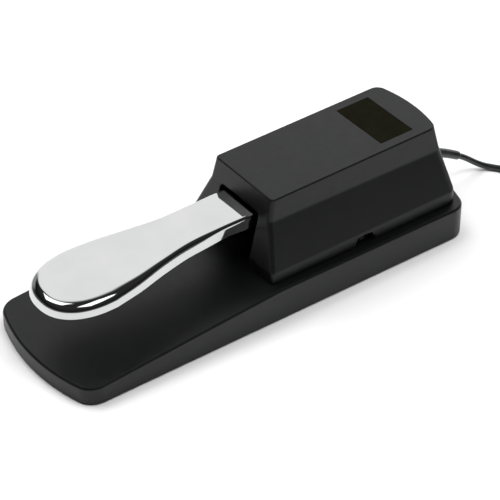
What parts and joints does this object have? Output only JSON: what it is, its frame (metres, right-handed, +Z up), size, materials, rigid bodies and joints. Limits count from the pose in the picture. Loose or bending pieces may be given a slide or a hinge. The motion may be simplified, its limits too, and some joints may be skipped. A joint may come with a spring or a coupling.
{
  "type": "sustain pedal",
  "caption": "Piano-style sustain foot pedal: chrome lever hinged in a black housing on a weighted base, with a polarity switch and a coiled lead ending in a mono jack plug.",
  "frame": {"origin": "on the floor under the middle of the base", "axes": "+Y from the lever's tip towards the cord end, +Z up, +X the side with the polarity switch"},
  "size_m": [0.1206, 0.3682, 0.0639],
  "materials": {
    "satin_black_plastic": "satin, fine moulded texture",
    "label_black": "blank plate, matt",
    "chrome_plate": "polished chrome plate",
    "zinc_steel": "bright zinc plated",
    "brass_contact": "plain",
    "black_rubber": "matt",
    "grey_felt": "pressed felt",
    "white_nylon": "moulded nylon",
    "switch_case": "moulded",
    "board_green": "solder mask",
    "wire_red": "insulated wire",
    "cord_pvc": "soft PVC, slight sheen"
  },
  "bodies": {
    "base": {"base_shell": "satin_black_plastic", "housing_cover": "satin_black_plastic", "name_plate": "label_black", "plug_sleeve": "chrome_plate", "plug_tip": "chrome_plate", "bottom_plate": "zinc_steel", "pivot_bracket": "zinc_steel", "pivot_axle": "zinc_steel", "axle_clip_left": "zinc_steel", "axle_clip_right": "zinc_steel", "return_spring": "zinc_steel", "switch_bracket": "zinc_steel", "switch_screw_1": "zinc_steel", "switch_screw_2": "zinc_steel", "switch_bracket_screw": "zinc_steel", "cover_screw_1": "zinc_steel", "cover_screw_2": "zinc_steel", "cover_screw_3": "zinc_steel", "cover_screw_4": "zinc_steel", "plate_screw_1": "zinc_steel", "plate_screw_2": "zinc_steel", "plate_screw_3": "zinc_steel", "plate_screw_4": "zinc_steel", "bracket_screw_1": "zinc_steel", "bracket_screw_2": "zinc_steel", "clamp_screw_1": "zinc_steel", "clamp_screw_2": "zinc_steel", "switch_terminal_common": "brass_contact", "switch_terminal_open": "brass_contact", "switch_terminal_closed": "brass_contact", "rubber_mat": "black_rubber", "lower_stop": "black_rubber", "cord_tie": "black_rubber", "lead_ground": "black_rubber", "lead_switch_common": "black_rubber", "plug_handle": "black_rubber", "upper_stop_pad": "grey_felt", "spring_seat": "white_nylon", "microswitch_body": "switch_case", "polarity_switch_body": "switch_case", "cord_clamp": "switch_case", "plug_insulator": "switch_case", "circuit_board": "board_green", "lead_signal": "wire_red", "lead_switch_open": "wire_red", "inner_cord": "cord_pvc", "cable": "cord_pvc", "cable_coil": "cord_pvc", "cable_tail": "cord_pvc", "strain_relief": "cord_pvc"},
    "pedal": {"pedal_lever": "chrome_plate", "bush_left": "white_nylon", "bush_right": "white_nylon", "spring_cap": "white_nylon"},
    "plunger": {"switch_plunger": "white_nylon"},
    "slider": {"polarity_slider": "white_nylon"}
  },
  "joints": [
    {"name": "pedal_hinge", "type": "hinge", "parent": "base", "child": "pedal", "pos_m": [0, 0.082, 0.0445], "axis": [1, 0, 0], "range_deg": [0, 5.2], "stiffness_Nm_per_rad": 15, "springref_deg": -3.72, "deforming": ["return_spring"]},
    {"name": "plunger_slide", "type": "slide", "parent": "base", "child": "plunger", "axis": [0, 0, -1], "range_m": [0, 0.0022], "stiffness_N_per_m": 100, "springref_m": -0.0005},
    {"name": "polarity_slide", "type": "slide", "parent": "base", "child": "slider", "axis": [0, 1, 0], "range_m": [0, 0.0026]}
  ],
  "couplings": [
    {"joint": "plunger_slide", "follows": "pedal_hinge", "m_per_rad": 0.0232}
  ]
}
